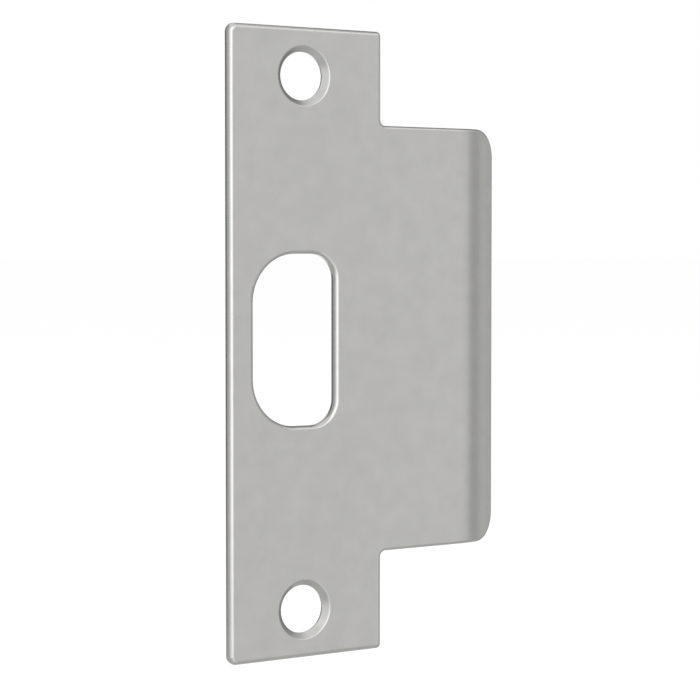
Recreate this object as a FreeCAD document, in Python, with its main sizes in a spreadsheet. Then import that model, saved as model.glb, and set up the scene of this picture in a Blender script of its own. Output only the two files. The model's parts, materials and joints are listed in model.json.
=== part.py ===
import FreeCAD, Part
import math
import os

import Sketcher

# Door strike plate: one blanked and bent sheet of steel. An upright plate carries two
# countersunk screw holes and a latch hole, and a lip runs on from its right edge and
# curves back towards the door stop.
#
# Frame: millimetres, +Z up the plate, +X towards the lip, the visible front towards -Y.
# The origin lies on the back face, midway between the two screw holes.

sizes = {
    # Plate
    "plate_height": 123.825,
    "plate_width": 34.925,
    "plate_thickness": 1.5,
    "screw_line_to_free_edge": 16.86,
    "free_corner_radius": 1.7,
    # Lip, with its reach measured from the screw line, as lips are specified
    "lip_height": 85.45,
    "lip_above_middle": 0.5,
    "lip_bend_start": 37.8,
    "lip_bend_inside_radius": 16.5,
    "lip_bend_angle": 25.0,
    "lip_straight_end": 2.6,
    "lip_corner_radius": 5.8,
    "lip_root_radius": 1.25,
    # Latch hole, with wide corners away from the lip and tight ones beside it
    "latch_hole_height": 33.8,
    "latch_hole_above_middle": 0.75,
    "latch_hole_width": 18.5,
    "latch_hole_to_free_edge": 5.55,
    "latch_far_corner_radius": 9.5,
    "latch_near_corner_radius": 5.1,
    # Screw holes: a flared seat in front and a straight land behind it
    "screw_to_plate_end": 9.525,
    "screw_land_radius": 4.745,
    "screw_seat_radius": 5.9,
    "screw_seat_angle": 90.0,
    # Edges rolled over by the blanking and piercing dies, less on the lip's side
    "outer_edge_round": 1.0,
    "lip_side_edge_round": 0.7,
    "latch_edge_round": 0.9,
    "screw_edge_round": 0.2,
}

# Where the trimming tool runs past the sheet
trim_margin = 10.0
# A rolled edge takes at most this share of the sheet, a corner's radius or a roll it meets
largest_share = 0.85
# Points this close count as the same when edges are picked
near = 1e-3

doc = FreeCAD.newDocument("strike")
sheet = doc.addObject("Spreadsheet::Sheet", "Sizes")
for row, (alias, value) in enumerate(sizes.items(), start=1):
    sheet.set(f"A{row}", alias)
    sheet.set(f"B{row}", str(value))
    sheet.setAlias(f"B{row}", alias)
doc.recompute()

START, END, CENTRE = 1, 2, 3
ORIGIN = (-1, START)
ACROSS_AXIS = -1
UP_AXIS = -2


def origin_plane(body, role):
    """The body's own origin plane with this role."""
    return next(item for item in body.Origin.OriginFeatures if item.Role == role)


def new_sketch(body, name, role):
    """A sketch on one of the body's origin planes."""
    sketch = body.newObject("Sketcher::SketchObject", name)
    sketch.AttachmentSupport = [(origin_plane(body, role), "")]
    sketch.MapMode = "FlatFace"
    return sketch


def dimension(sketch, kind, references, name, value, expression):
    """A named constraint that follows the sheet."""
    index = sketch.addConstraint(Sketcher.Constraint(kind, *references, value))
    sketch.renameConstraint(index, name)
    sketch.setExpression(f"Constraints.{name}", expression)


def vector(x, y):
    return FreeCAD.Vector(x, y, 0)


def rounded_outline(sketch, corners):
    """Lines along the sketch axes, anticlockwise, that meet in tangent arcs or sharp corners.

    Each corner is (x, y, turn, radius, radius expression); turn is +1 for a corner that
    turns left and -1 for one that turns right, and a sharp corner has a radius of 0 and no
    expression. Returns the numbers of the lines: line i runs from corner i to the next.
    """
    count = len(corners)
    quarter_turn = math.pi / 2
    arrive = []
    leave = []
    arc_ids = []
    for i, (x, y, turn, radius, _) in enumerate(corners):
        before = corners[i - 1]
        into = vector(x - before[0], y - before[1]).normalize()
        out = vector(-into.y * turn, into.x * turn)
        corner = vector(x, y)
        arrive.append(corner - into * radius)
        leave.append(corner + out * radius)
        if not radius:
            arc_ids.append(None)
            continue
        centre = corner - into * radius + out * radius
        first = arrive[i] if turn > 0 else leave[i]
        start = math.atan2(first.y - centre.y, first.x - centre.x)
        circle = Part.Circle(centre, FreeCAD.Vector(0, 0, 1), radius)
        arc = Part.ArcOfCircle(circle, start, start + quarter_turn)
        arc_ids.append(sketch.addGeometry(arc, False))
    line_ids = []
    for i in range(count):
        line = Part.LineSegment(leave[i], arrive[(i + 1) % count])
        line_ids.append(sketch.addGeometry(line, False))
        level = abs(leave[i].y - arrive[(i + 1) % count].y) < near
        sketch.addConstraint(Sketcher.Constraint("Horizontal" if level else "Vertical", line_ids[i]))
    for i, (_, _, turn, radius, expression) in enumerate(corners):
        before, after, arc = line_ids[i - 1], line_ids[i], arc_ids[i]
        if arc is None:
            sketch.addConstraint(Sketcher.Constraint("Coincident", before, END, after, START))
            continue
        arc_in, arc_out = (START, END) if turn > 0 else (END, START)
        sketch.addConstraint(Sketcher.Constraint("Tangent", before, END, arc, arc_in))
        sketch.addConstraint(Sketcher.Constraint("Tangent", arc, arc_out, after, START))
        dimension(sketch, "Radius", (arc,), f"corner_{i}", radius, expression)
    return line_ids


def place_lines(sketch, lines, places):
    """Set each line's distance from the origin, along the axis that it crosses.

    A place is (side, distance, expression), with side one of left, right, below, above.
    """
    for line, (side, distance, expression) in zip(lines, places):
        kind = "DistanceX" if side in ("left", "right") else "DistanceY"
        if side in ("right", "above"):
            references = (*ORIGIN, line, START)
        else:
            references = (line, START, *ORIGIN)
        dimension(sketch, kind, references, f"line_{line}_{side}", distance, expression)


def edges_where(feature, test):
    """Names of the feature's edges that pass the test."""
    return [f"Edge{i}" for i, edge in enumerate(feature.Shape.Edges, start=1) if test(edge)]


def outward_normals(shape, edge):
    """Normals of the faces that meet at the middle of an edge."""
    middle = edge.valueAt((edge.FirstParameter + edge.LastParameter) / 2)
    normals = []
    for face in shape.ancestorsOfType(edge, Part.Face):
        u, v = face.Surface.parameter(middle)
        normals.append(face.normalAt(u, v))
    return normals


def round_edges(body, name, base, edges, expression):
    """A fillet on the named edges."""
    fillet = body.newObject("PartDesign::Fillet", name)
    fillet.Base = (base, edges)
    fillet.setExpression("Radius", expression)
    doc.recompute()
    return fillet


# The bent strip: its section seen from above, as deep as the plate is tall
body = doc.addObject("PartDesign::Body", "StrikePlate")
body.Label = "strike_plate"

free_edge = sizes["screw_line_to_free_edge"]
thickness = sizes["plate_thickness"]
bend_start = sizes["lip_bend_start"]
bend = math.radians(sizes["lip_bend_angle"])
inside = sizes["lip_bend_inside_radius"]
straight = sizes["lip_straight_end"]

bend_centre = vector(bend_start, inside)
spoke = vector(math.sin(bend), -math.cos(bend))
along = vector(math.cos(bend), math.sin(bend))
back_bend_end = bend_centre + spoke * inside
front_bend_end = bend_centre + spoke * (inside + thickness)
back_tip = back_bend_end + along * straight
front_tip = front_bend_end + along * straight
front_start = vector(-free_edge, -thickness)
back_start = vector(-free_edge, 0)
front_bend_start = vector(bend_start, -thickness)
back_bend_start = vector(bend_start, 0)


def bend_arc(radius):
    circle = Part.Circle(bend_centre, FreeCAD.Vector(0, 0, 1), radius)
    return Part.ArcOfCircle(circle, -math.pi / 2, -math.pi / 2 + bend)


section = new_sketch(body, "StripSection", "XY_Plane")
front = section.addGeometry(Part.LineSegment(front_start, front_bend_start), False)
front_bend = section.addGeometry(bend_arc(inside + thickness), False)
front_end = section.addGeometry(Part.LineSegment(front_bend_end, front_tip), False)
tip = section.addGeometry(Part.LineSegment(front_tip, back_tip), False)
back_end = section.addGeometry(Part.LineSegment(back_tip, back_bend_end), False)
back_bend = section.addGeometry(bend_arc(inside), False)
back = section.addGeometry(Part.LineSegment(back_bend_start, back_start), False)
free_side = section.addGeometry(Part.LineSegment(back_start, front_start), False)
for constraint in (
    ("Tangent", front, END, front_bend, START),
    ("Tangent", front_bend, END, front_end, START),
    ("Coincident", front_end, END, tip, START),
    ("Coincident", tip, END, back_end, START),
    ("Tangent", back_end, END, back_bend, END),
    ("Tangent", back_bend, START, back, START),
    ("Coincident", back, END, free_side, START),
    ("Coincident", free_side, END, front, START),
    ("Coincident", front_bend, CENTRE, back_bend, CENTRE),
    ("Perpendicular", front_end, tip),
    ("Horizontal", front),
    ("Vertical", free_side),
    ("PointOnObject", back, START, ACROSS_AXIS),
    ("PointOnObject", back, END, ACROSS_AXIS),
):
    section.addConstraint(Sketcher.Constraint(*constraint))
dimension(section, "DistanceX", (back, END, *ORIGIN), "free_edge", free_edge,
          "Sizes.screw_line_to_free_edge")
dimension(section, "DistanceY", (free_side, END, free_side, START), "thickness", thickness,
          "Sizes.plate_thickness")
dimension(section, "DistanceX", (*ORIGIN, back, START), "bend_start", bend_start,
          "Sizes.lip_bend_start")
dimension(section, "Radius", (back_bend,), "bend_radius", inside, "Sizes.lip_bend_inside_radius")
dimension(section, "Angle", (front_end,), "bend_angle", bend, "Sizes.lip_bend_angle * 1 deg")
dimension(section, "Distance", (front_end,), "straight_end", straight, "Sizes.lip_straight_end")

strip = body.newObject("PartDesign::Pad", "BentStrip")
strip.Profile = section
strip.SideType = "Symmetric"
strip.setExpression("Length", "Sizes.plate_height")
doc.recompute()

# The blank's outline seen from the front: all that lies outside it is cut away. The
# outline runs past the lip's end, which the strip's own section sets. Its two corners
# beside the lip are sharp here, and the roll round the lip's side rounds them.
lip_side = sizes["plate_width"] - free_edge
half_plate = sizes["plate_height"] / 2
lip_top = sizes["lip_height"] / 2 + sizes["lip_above_middle"]
lip_bottom = sizes["lip_height"] / 2 - sizes["lip_above_middle"]
past_tip = front_tip.x + trim_margin
free_corner = sizes["free_corner_radius"]
root = sizes["lip_root_radius"]
past_tip_rule = (
    "Sizes.lip_bend_start + (Sizes.lip_bend_inside_radius + Sizes.plate_thickness)"
    " * sin(Sizes.lip_bend_angle * 1 deg) + Sizes.lip_straight_end"
    f" * cos(Sizes.lip_bend_angle * 1 deg) + {trim_margin}"
)
lip_top_rule = "Sizes.lip_height / 2 + Sizes.lip_above_middle"
lip_bottom_rule = "Sizes.lip_height / 2 - Sizes.lip_above_middle"

outline = new_sketch(body, "BlankOutline", "XZ_Plane")
lines = rounded_outline(outline, [
    (-free_edge, -half_plate, 1, free_corner, "Sizes.free_corner_radius"),
    (lip_side, -half_plate, 1, 0, None),
    (lip_side, -lip_bottom, -1, root, "Sizes.lip_root_radius"),
    (past_tip, -lip_bottom, 1, root, "Sizes.lip_root_radius"),
    (past_tip, lip_top, 1, root, "Sizes.lip_root_radius"),
    (lip_side, lip_top, -1, root, "Sizes.lip_root_radius"),
    (lip_side, half_plate, 1, 0, None),
    (-free_edge, half_plate, 1, free_corner, "Sizes.free_corner_radius"),
])
lip_side_rule = "Sizes.plate_width - Sizes.screw_line_to_free_edge"
place_lines(outline, lines, [
    ("below", half_plate, "Sizes.plate_height / 2"),
    ("right", lip_side, lip_side_rule),
    ("below", lip_bottom, lip_bottom_rule),
    ("right", past_tip, past_tip_rule),
    ("above", lip_top, lip_top_rule),
    ("right", lip_side, lip_side_rule),
    ("above", half_plate, "Sizes.plate_height / 2"),
    ("left", free_edge, "Sizes.screw_line_to_free_edge"),
])
# The waste around the outline, out to a rectangle that clears the strip on all sides
frame_left = free_edge + trim_margin
frame_right = past_tip + trim_margin
frame_top = half_plate + trim_margin
frame_corners = [
    vector(-frame_left, -frame_top),
    vector(frame_right, -frame_top),
    vector(frame_right, frame_top),
    vector(-frame_left, frame_top),
]
frame_lines = []
for i, corner in enumerate(frame_corners):
    following = frame_corners[(i + 1) % len(frame_corners)]
    frame_lines.append(outline.addGeometry(Part.LineSegment(corner, following), False))
for i, line in enumerate(frame_lines):
    following = frame_lines[(i + 1) % len(frame_lines)]
    outline.addConstraint(Sketcher.Constraint("Coincident", line, END, following, START))
    outline.addConstraint(Sketcher.Constraint("Vertical" if i % 2 else "Horizontal", line))
place_lines(outline, frame_lines, [
    ("below", frame_top, f"Sizes.plate_height / 2 + {trim_margin}"),
    ("right", frame_right, f"{past_tip_rule} + {trim_margin}"),
    ("above", frame_top, f"Sizes.plate_height / 2 + {trim_margin}"),
    ("left", frame_left, f"Sizes.screw_line_to_free_edge + {trim_margin}"),
])

trim = body.newObject("PartDesign::Pocket", "TrimToOutline")
trim.Profile = outline
trim.Type = "ThroughAll"
trim.SideType = "Symmetric"
doc.recompute()

# The lip's two free corners, rounded square to the bent end
tip_middle = (front_tip + back_tip) * 0.5


def is_lip_end_corner(edge):
    middle = edge.CenterOfMass
    at_tip = abs(middle.x - tip_middle.x) < near and abs(middle.y - tip_middle.y) < near
    return at_tip and (abs(middle.z - lip_top) < near or abs(middle.z + lip_bottom) < near)


lip_corners = round_edges(
    body, "LipCorners", trim, edges_where(trim, is_lip_end_corner), "Sizes.lip_corner_radius"
)

# The front's outer edge, rolled over by the blanking die: broadly along the free edge and
# the plate's two ends, and then more tightly down the lip's side and round the lip. The
# tight roll runs on over the broad one's ends, and so it rounds the corners there.
front_facing = -0.8
side_facing = -0.5


def is_front_rim(shape, edge):
    leanings = sorted(normal.y for normal in outward_normals(shape, edge))
    return leanings[0] < front_facing and leanings[-1] > side_facing


def is_broad_rim(edge):
    return is_front_rim(lip_corners.Shape, edge) and edge.BoundBox.XMin < lip_side - near


broad_round = (
    f"min(Sizes.outer_edge_round; {largest_share} * Sizes.plate_thickness;"
    f" {largest_share} * Sizes.free_corner_radius)"
)
broad_roll = round_edges(
    body, "RolledEdge", lip_corners, edges_where(lip_corners, is_broad_rim), broad_round
)


def is_lip_side_rim(edge):
    return is_front_rim(broad_roll.Shape, edge) and edge.BoundBox.XMin > lip_side - near


tight_roll = round_edges(
    body, "LipSideRolledEdge", broad_roll, edges_where(broad_roll, is_lip_side_rim),
    f"min(Sizes.lip_side_edge_round; {largest_share} * {broad_round})"
)

# The latch hole
hole_left = free_edge - sizes["latch_hole_to_free_edge"]
hole_right = sizes["latch_hole_width"] - hole_left
hole_top = sizes["latch_hole_height"] / 2 + sizes["latch_hole_above_middle"]
hole_bottom = sizes["latch_hole_height"] / 2 - sizes["latch_hole_above_middle"]
far_corner = sizes["latch_far_corner_radius"]
near_corner = sizes["latch_near_corner_radius"]
hole_left_rule = "Sizes.screw_line_to_free_edge - Sizes.latch_hole_to_free_edge"

hole_outline = new_sketch(body, "LatchHoleOutline", "XZ_Plane")
lines = rounded_outline(hole_outline, [
    (-hole_left, -hole_bottom, 1, far_corner, "Sizes.latch_far_corner_radius"),
    (hole_right, -hole_bottom, 1, near_corner, "Sizes.latch_near_corner_radius"),
    (hole_right, hole_top, 1, near_corner, "Sizes.latch_near_corner_radius"),
    (-hole_left, hole_top, 1, far_corner, "Sizes.latch_far_corner_radius"),
])
place_lines(hole_outline, lines, [
    ("below", hole_bottom, "Sizes.latch_hole_height / 2 - Sizes.latch_hole_above_middle"),
    ("right", hole_right, f"Sizes.latch_hole_width - ({hole_left_rule})"),
    ("above", hole_top, "Sizes.latch_hole_height / 2 + Sizes.latch_hole_above_middle"),
    ("left", hole_left, hole_left_rule),
])
latch_hole = body.newObject("PartDesign::Pocket", "LatchHole")
latch_hole.Profile = hole_outline
latch_hole.Type = "ThroughAll"
latch_hole.SideType = "Symmetric"
doc.recompute()


def is_latch_hole_rim(edge):
    box = edge.BoundBox
    on_front = abs(box.YMin + thickness) < near and abs(box.YMax + thickness) < near
    across = box.XMin > -hole_left - near and box.XMax < hole_right + near
    return on_front and across and box.ZMax < hole_top + near and box.ZMin > -hole_bottom - near


latch_edge = round_edges(
    body, "LatchHoleEdge", latch_hole, edges_where(latch_hole, is_latch_hole_rim),
    f"min(Sizes.latch_edge_round; {largest_share} * Sizes.plate_thickness)"
)

# The screw holes, sunk from the front face
screw_places = new_sketch(body, "ScrewPlaces", "XZ_Plane")
screw_places.setExpression(".AttachmentOffset.Base.z", "Sizes.plate_thickness")
half_spacing = half_plate - sizes["screw_to_plate_end"]
for name, height in (("upper", half_spacing), ("lower", -half_spacing)):
    circle = Part.Circle(vector(0, height), FreeCAD.Vector(0, 0, 1), sizes["screw_land_radius"])
    ring = screw_places.addGeometry(circle, False)
    screw_places.addConstraint(Sketcher.Constraint("PointOnObject", ring, CENTRE, UP_AXIS))
    references = (*ORIGIN, ring, CENTRE) if height > 0 else (ring, CENTRE, *ORIGIN)
    dimension(screw_places, "DistanceY", references, f"{name}_place", half_spacing,
              "Sizes.plate_height / 2 - Sizes.screw_to_plate_end")
    dimension(screw_places, "Radius", (ring,), f"{name}_radius", sizes["screw_land_radius"],
              "Sizes.screw_land_radius")
doc.recompute()

screw_holes = body.newObject("PartDesign::Hole", "ScrewHoles")
screw_holes.Profile = screw_places
screw_holes.Threaded = False
screw_holes.DepthType = "ThroughAll"
screw_holes.HoleCutType = "Countersink"
screw_holes.HoleCutCustomValues = True
screw_holes.setExpression("Diameter", "2 * Sizes.screw_land_radius")
screw_holes.setExpression("HoleCutDiameter", "2 * Sizes.screw_seat_radius")
screw_holes.setExpression("HoleCutCountersinkAngle", "Sizes.screw_seat_angle")
doc.recompute()


def is_screw_seat_rim(edge):
    round_edge = isinstance(edge.Curve, Part.Circle)
    on_front = abs(edge.BoundBox.YMax + thickness) < near
    return round_edge and on_front and abs(edge.Curve.Radius - sizes["screw_seat_radius"]) < near


screw_edge = round_edges(
    body, "ScrewSeatEdge", screw_holes, edges_where(screw_holes, is_screw_seat_rim),
    "Sizes.screw_edge_round"
)
body.Tip = screw_edge
doc.recompute()

# Check every object, then write the plate
for item in doc.Objects:
    if "Invalid" in item.State or "Error" in item.State:
        raise RuntimeError(f"{item.Name} did not build: {item.State}")
if body.Shape.isNull() or not body.Shape.isValid() or len(body.Shape.Solids) != 1:
    raise RuntimeError("the plate isn't one valid solid")

os.makedirs("parts", exist_ok=True)
body.Shape.exportStep(os.path.join("parts", f"{body.Label}.step"))
bounds = body.Shape.BoundBox
print(f"{body.Label}: {bounds.XLength:.2f} x {bounds.YLength:.2f} x {bounds.ZLength:.2f} mm,"
      f" {body.Shape.Volume:.1f} cubic mm, {len(body.Shape.Faces)} faces")
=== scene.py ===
import json
from math import cos, pi, radians, sin

import bmesh
import bpy
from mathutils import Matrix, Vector


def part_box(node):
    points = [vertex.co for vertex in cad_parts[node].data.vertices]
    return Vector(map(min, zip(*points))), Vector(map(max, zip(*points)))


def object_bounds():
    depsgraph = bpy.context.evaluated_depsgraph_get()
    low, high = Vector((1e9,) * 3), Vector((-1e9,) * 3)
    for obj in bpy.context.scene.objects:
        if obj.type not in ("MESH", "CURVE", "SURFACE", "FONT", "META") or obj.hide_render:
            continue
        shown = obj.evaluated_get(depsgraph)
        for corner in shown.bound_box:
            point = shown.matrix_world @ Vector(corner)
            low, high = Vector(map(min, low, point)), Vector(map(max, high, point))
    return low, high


# The looks of a door strike plate: satin stainless steel under soft studio light.
# Metres, in the part's frame: +Z up the plate, +X towards the lip, the front towards -Y.

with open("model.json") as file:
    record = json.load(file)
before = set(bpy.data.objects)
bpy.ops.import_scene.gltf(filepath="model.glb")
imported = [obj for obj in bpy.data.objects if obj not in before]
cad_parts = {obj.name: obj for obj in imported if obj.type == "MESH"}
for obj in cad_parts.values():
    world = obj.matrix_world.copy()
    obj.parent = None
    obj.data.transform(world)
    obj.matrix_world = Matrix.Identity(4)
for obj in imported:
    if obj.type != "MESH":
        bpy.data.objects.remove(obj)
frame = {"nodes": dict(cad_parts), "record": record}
cad_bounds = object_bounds()
plate = frame["nodes"]["strike_plate"]
record = frame["record"]
mm = 0.001

# The screw holes, and their seats: cones of 90 degrees, so as wide as they are deep, from the
# front face to a thin land at the back face. The back face lies at 0.
screws = next(mount for mount in record["mounts"] if mount["name"] == "screw_holes")
screw_height = screws["dims"]["spacing_y_mm"] / 2 * mm
land_radius = screws["dims"]["hole_r_mm"] * mm
land_depth = 0.345 * mm
sheet_thickness = -cad_bounds[0].y
seat_radius = land_radius + sheet_thickness - land_depth

# The photograph's view: in front of the plate's free edge and a little above its middle. The
# tilt centres the plate, and the small shift keeps its upright edges nearly parallel. The lens
# is in millimetres, and the shift is a share of the picture's width.
camera_place = Vector((-0.217243, -0.358009, 0.019089))
camera_heading = radians(32.583)
camera_tilt = radians(-2.217)
camera_lens = 109.626
camera_shift = -0.03

# The steel's colour and its unevenness. Scales are features per metre.
steel_dark = (0.416, 0.414, 0.406, 1.0)
steel_light = (0.484, 0.481, 0.471, 1.0)
mottle_scale = 270.0
mottle_detail = 6.0
grain_scale = 3200.0
grain_detail = 3.0
grain_stretch = (1.0, 1.0, 0.35)
grain_range = (0.3, 0.7)
grain_strength = 0.04
grain_depth = 0.01 * mm
roughness_range = (0.24, 0.27)

# The turned finish of the screw seats, which fades across their edge and within the land, and
# how far their rims are rolled to each side
seat_added_roughness = 0.08
seat_edge_fade = 0.1 * mm
land_fade = 0.2 * mm
ring_pitch = 0.3 * mm
ring_wander = 2.0
ring_strength = 0.1
ring_depth = 0.02 * mm
wander_scale = 900.0
wander_detail = 2.0
rim_reach = 0.4 * mm
rim_full_share = 0.7
rim_samples = 8

floor_below_plate = 0.06
floor_size = 40.0
floor_white = (0.99, 0.99, 0.99, 1.0)
lamp_distance = 1.2

# What the steel reflects: a dome of this level with soft-edged panels on it, the later ones
# over the earlier. In degrees, azimuth 0 is in front of the plate, 90 past its free edge and
# -90 past its lip. Each panel is its azimuths, its elevations, the widths of its soft edges
# along and up, and its brightness.
dome_radius = 2.0
dome_level = 0.76
dome_panels = {
    "front_wall": ((-47, 62), (-24, 60), (8, 20), 0.99),
    "front_wall_end": ((-47, -34), (-24, 24), (6, 16), 1.11),
    "ceiling": ((-180, 180), (60, 90), (8, 8), 1.40),
    "wall_by_free_edge": ((50, 76), (-24, 64), (8, 5), 1.30),
    "grey_flag": ((-66, -51), (-45, 26), (11, 9), 0.60),
    "wall_past_lip": ((-93, -69), (-30, 40), (6, 12), 0.83),
    "gap_past_lip": ((-148, -94), (-12, 58), (7, 4), 0.27),
    "gap_past_lip_low": ((-128, -98), (-36, -10), (6, 5), 0.30),
    "gap_behind": ((140, 161), (-12, 49), (6, 4), 0.16),
    "table_behind_lip_side": ((-200, -152), (-50, -16), (12, 12), 1.45),
    "table_behind_free_side": ((172, 200), (-50, -16), (10, 12), 1.45),
    "key_low": ((-25, 34), (-58, -15), (8, 8), 1.25),
    "key_top": ((-24, 43), (15, 45), (6, 6), 2.10),
    "key_softbox": ((-9, 43), (-13, 42), (4, 4), 2.30),
    "top_softbox": ((-62, -12), (31, 51), (9, 9), 1.75),
}
full_turn = 360


def heading(azimuth, elevation):
    """The unit vector towards an azimuth and elevation in degrees, counted as on the dome."""
    a = radians(azimuth)
    e = radians(elevation)
    return Vector((-sin(a) * cos(e), -cos(a) * cos(e), sin(e)))


# Shading nodes

def math_node(tree, operation, first, second=None):
    """The result of one operation. Each operand is a socket or a number."""
    node = tree.nodes.new("ShaderNodeMath")
    node.operation = operation
    for socket, value in zip(node.inputs, (first, second)):
        if isinstance(value, bpy.types.NodeSocket):
            tree.links.new(value, socket)
        elif value is not None:
            socket.default_value = value
    return node.outputs[0]


def ramp_between(tree, value, low, high, low_result=0.0, high_result=1.0):
    """The value mapped smoothly from low..high to the two results, and held past them."""
    node = tree.nodes.new("ShaderNodeMapRange")
    node.interpolation_type = "SMOOTHSTEP"
    node.inputs["From Min"].default_value = low
    node.inputs["From Max"].default_value = high
    node.inputs["To Min"].default_value = low_result
    node.inputs["To Max"].default_value = high_result
    tree.links.new(value, node.inputs["Value"])
    return node.outputs["Result"]


def window(tree, value, low, high, soft):
    """1 where the value is between low and high, falling to 0 across a soft edge."""
    rise = ramp_between(tree, value, low - soft / 2, low + soft / 2)
    fall = ramp_between(tree, value, high - soft / 2, high + soft / 2, 1.0, 0.0)
    return math_node(tree, "MULTIPLY", rise, fall)


def noise(tree, coordinates, scale, detail, stretch=(1.0, 1.0, 1.0)):
    """Noise from 0 to 1 with features about 1/scale metres wide, longer along a small stretch."""
    mapping = tree.nodes.new("ShaderNodeMapping")
    mapping.inputs["Scale"].default_value = stretch
    tree.links.new(coordinates, mapping.inputs["Vector"])
    node = tree.nodes.new("ShaderNodeTexNoise")
    node.inputs["Scale"].default_value = scale
    node.inputs["Detail"].default_value = detail
    tree.links.new(mapping.outputs["Vector"], node.inputs["Vector"])
    return node.outputs["Fac"]


def bump(tree, height, strength, depth, normal):
    """The normal tipped by the slope of a height that is this many metres deep."""
    node = tree.nodes.new("ShaderNodeBump")
    node.inputs["Strength"].default_value = strength
    node.inputs["Distance"].default_value = depth
    tree.links.new(height, node.inputs["Height"])
    tree.links.new(normal, node.inputs["Normal"])
    return node.outputs["Normal"]


def split_vector(tree, vector):
    """The x, y and z of a vector."""
    node = tree.nodes.new("ShaderNodeSeparateXYZ")
    tree.links.new(vector, node.inputs[0])
    return node.outputs


def object_coordinates(tree):
    """The place on the object, in metres. A CAD node's place is its place in the frame."""
    return tree.nodes.new("ShaderNodeTexCoord").outputs["Object"]


def bare_material(name, shader_type):
    """A material with one shader on its surface, and that shader."""
    material = bpy.data.materials.new(name)
    material.use_nodes = True
    tree = material.node_tree
    tree.nodes.clear()
    shader = tree.nodes.new(shader_type)
    output = tree.nodes.new("ShaderNodeOutputMaterial")
    tree.links.new(shader.outputs[0], output.inputs["Surface"])
    return material, shader


# The steel

def distance_from_screw(tree, across, height):
    """How far a place lies from the axis of the nearer screw."""
    above_screw = math_node(tree, "SUBTRACT", math_node(tree, "ABSOLUTE", height), screw_height)
    across_squared = math_node(tree, "MULTIPLY", across, across)
    above_squared = math_node(tree, "MULTIPLY", above_screw, above_screw)
    return math_node(tree, "SQRT", math_node(tree, "ADD", across_squared, above_squared))


def seat_regions(tree, from_screw, depth):
    """Two maps: 1 in the screw seats, and 1 along their rims. Both are 0 on the back face."""
    in_front = ramp_between(tree, depth, land_fade - land_depth, -land_depth)
    near_screw = ramp_between(tree, from_screw, seat_radius + seat_edge_fade,
                              seat_radius - seat_edge_fade)
    in_seat = math_node(tree, "MULTIPLY", near_screw, in_front)
    off_rim = math_node(tree, "ABSOLUTE", math_node(tree, "SUBTRACT", from_screw, seat_radius))
    near_rim = ramp_between(tree, off_rim, rim_reach, rim_reach * rim_full_share)
    on_rim = math_node(tree, "MULTIPLY", near_rim, in_front)
    return in_seat, on_rim


def turned_rings(tree, coordinates, from_screw, in_seat):
    """The height of the fine rings in the seats, uneven as a countersink leaves them."""
    wander = noise(tree, coordinates, wander_scale, wander_detail)
    turns = math_node(tree, "MULTIPLY", from_screw, 2 * pi / ring_pitch)
    phase = math_node(tree, "ADD", turns, math_node(tree, "MULTIPLY", wander, ring_wander))
    return math_node(tree, "MULTIPLY", math_node(tree, "SINE", phase), in_seat)


def rolled_rims(tree, on_rim):
    """The surface's normal, softened along the seats' rims so that they catch the light."""
    rolled = tree.nodes.new("ShaderNodeBevel")
    rolled.samples = rim_samples
    rolled.inputs["Radius"].default_value = rim_reach
    surface = tree.nodes.new("ShaderNodeNewGeometry")
    mix = tree.nodes.new("ShaderNodeMix")
    mix.data_type = "VECTOR"
    tree.links.new(on_rim, mix.inputs["Factor"])
    tree.links.new(surface.outputs["Normal"], mix.inputs["A"])
    tree.links.new(rolled.outputs["Normal"], mix.inputs["B"])
    return mix.outputs["Result"]


def steel_tone(tree, mottle):
    """The steel's colour, between its dark and its light by the mottle."""
    mix = tree.nodes.new("ShaderNodeMix")
    mix.data_type = "RGBA"
    mix.inputs["A"].default_value = steel_dark
    mix.inputs["B"].default_value = steel_light
    tree.links.new(mottle, mix.inputs["Factor"])
    return mix.outputs["Result"]


def satin_steel():
    """Satin stainless steel: a fine even grain, and turned rings in the screw seats."""
    material, shader = bare_material("satin_steel", "ShaderNodeBsdfPrincipled")
    tree = material.node_tree
    coordinates = object_coordinates(tree)
    across, depth, height = split_vector(tree, coordinates)
    from_screw = distance_from_screw(tree, across, height)
    in_seat, on_rim = seat_regions(tree, from_screw, depth)
    mottle = noise(tree, coordinates, mottle_scale, mottle_detail)
    grain = noise(tree, coordinates, grain_scale, grain_detail, grain_stretch)

    face_roughness = ramp_between(tree, grain, *grain_range, *roughness_range)
    seat_roughness = math_node(tree, "MULTIPLY", in_seat, seat_added_roughness)
    roughness = math_node(tree, "ADD", face_roughness, seat_roughness)

    rings = turned_rings(tree, coordinates, from_screw, in_seat)
    ringed = bump(tree, rings, ring_strength, ring_depth, rolled_rims(tree, on_rim))
    grained = bump(tree, grain, grain_strength, grain_depth, ringed)

    shader.inputs["Metallic"].default_value = 1.0
    tree.links.new(steel_tone(tree, mottle), shader.inputs["Base Color"])
    tree.links.new(roughness, shader.inputs["Roughness"])
    tree.links.new(grained, shader.inputs["Normal"])
    return material


# The studio

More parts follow.
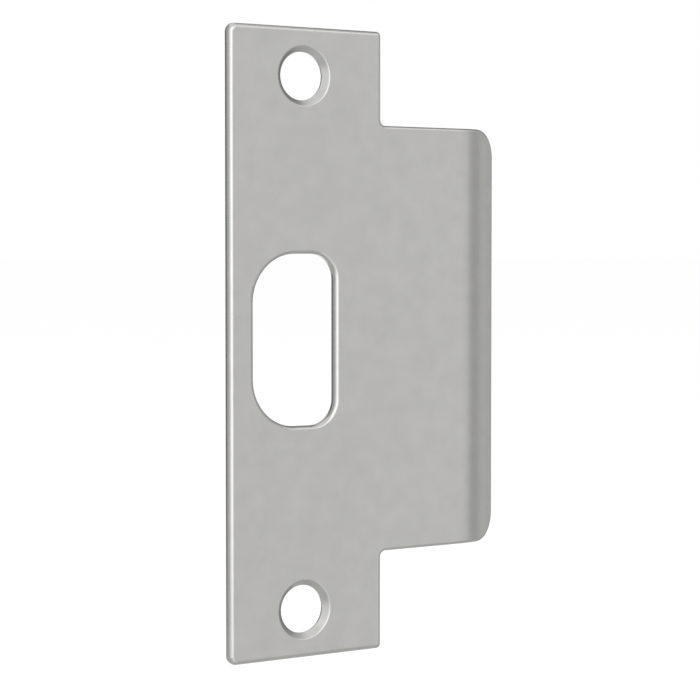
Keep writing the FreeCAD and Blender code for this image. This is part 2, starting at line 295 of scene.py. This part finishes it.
def dome_brightness(tree):
    """The dome's level with each panel laid over it, by azimuth and elevation."""
    direction = tree.nodes.new("ShaderNodeVectorMath")
    direction.operation = "NORMALIZE"
    tree.links.new(object_coordinates(tree), direction.inputs[0])
    x, y, z = split_vector(tree, direction.outputs[0])
    to_free_edge = math_node(tree, "MULTIPLY", x, -1.0)
    to_front = math_node(tree, "MULTIPLY", y, -1.0)
    azimuth = math_node(tree, "DEGREES", math_node(tree, "ARCTAN2", to_free_edge, to_front))
    elevation = math_node(tree, "DEGREES", math_node(tree, "ARCSINE", z))
    level = dome_level
    for azimuths, elevations, (soft_along, soft_up), brightness in dome_panels.values():
        inside = window(tree, elevation, *elevations, soft_up)
        if azimuths[1] - azimuths[0] < full_turn:
            along = window(tree, azimuth, *azimuths, soft_along)
            inside = math_node(tree, "MULTIPLY", inside, along)
        change = math_node(tree, "SUBTRACT", brightness, level)
        level = math_node(tree, "ADD", math_node(tree, "MULTIPLY", inside, change), level)
    return level


def dome_glow():
    """A glow as bright as the dome's panels. It isn't sampled as a lamp."""
    material, emission = bare_material("dome_glow", "ShaderNodeEmission")
    tree = material.node_tree
    tree.links.new(dome_brightness(tree), emission.inputs["Strength"])
    material.cycles.emission_sampling = "NONE"
    return material


def reflection_dome():
    """The studio as the steel reflects it, all round the plate."""
    ball = bmesh.new()
    bmesh.ops.create_uvsphere(ball, u_segments=64, v_segments=32, radius=dome_radius)
    mesh = bpy.data.meshes.new("reflection_dome")
    ball.to_mesh(mesh)
    ball.free()
    mesh.materials.append(dome_glow())
    item = bpy.data.objects.new("reflection_dome", mesh)
    bpy.context.scene.collection.objects.link(item)
    item.visible_camera = False
    item.visible_diffuse = False
    item.visible_transmission = False
    item.visible_shadow = False


def softbox(name, azimuth, elevation, width, height, brightness):
    """A soft rectangular lamp aimed at the plate. The dome shows its reflection."""
    lamp = bpy.data.lights.new(name, "AREA")
    lamp.shape = "RECTANGLE"
    lamp.size = width
    lamp.size_y = height
    lamp.energy = pi * width * height * brightness
    item = bpy.data.objects.new(name, lamp)
    item.location = heading(azimuth, elevation) * lamp_distance
    item.rotation_euler = item.location.to_track_quat("Z", "Y").to_euler()
    item.visible_camera = False
    item.visible_glossy = False
    bpy.context.scene.collection.objects.link(item)


def floor(level):
    """A pale matt floor that reaches the horizon."""
    half = floor_size / 2
    corners = [(x, y, level) for x, y in ((-half, -half), (half, -half), (half, half), (-half, half))]
    mesh = bpy.data.meshes.new("floor")
    mesh.from_pydata(corners, [], [(0, 1, 2, 3)])
    paint, diffuse = bare_material("floor_paint", "ShaderNodeBsdfDiffuse")
    diffuse.inputs["Color"].default_value = floor_white
    mesh.materials.append(paint)
    item = bpy.data.objects.new("floor", mesh)
    bpy.context.scene.collection.objects.link(item)
    item.visible_glossy = False


def white_world():
    """Plain white surroundings."""
    world = bpy.data.worlds.new("studio")
    world.use_nodes = True
    background = world.node_tree.nodes["Background"]
    background.inputs["Color"].default_value = (1.0, 1.0, 1.0, 1.0)
    background.inputs["Strength"].default_value = 1.0
    world.cycles.sampling_method = "NONE"
    bpy.context.scene.world = world


def studio():
    """White surroundings, a pale floor, the lamps, and the dome that the steel reflects."""
    white_world()
    floor(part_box("strike_plate")[0].z - floor_below_plate)
    softbox("key", azimuth=18, elevation=30, width=1.0, height=1.0, brightness=1.0)
    softbox("top_light", azimuth=-38, elevation=41, width=0.8, height=0.4, brightness=0.6)
    reflection_dome()


def camera():
    """The photograph's view."""
    data = bpy.data.cameras.new("camera")
    data.lens = camera_lens
    data.shift_y = camera_shift
    item = bpy.data.objects.new("camera", data)
    item.location = camera_place
    item.rotation_euler = (pi / 2 + camera_tilt, 0, -camera_heading)
    bpy.context.scene.collection.objects.link(item)
    bpy.context.scene.camera = item


steel = satin_steel()
for slot in plate.material_slots:
    slot.material = steel
studio()
camera()
bpy.context.scene.view_settings.view_transform = "Standard"
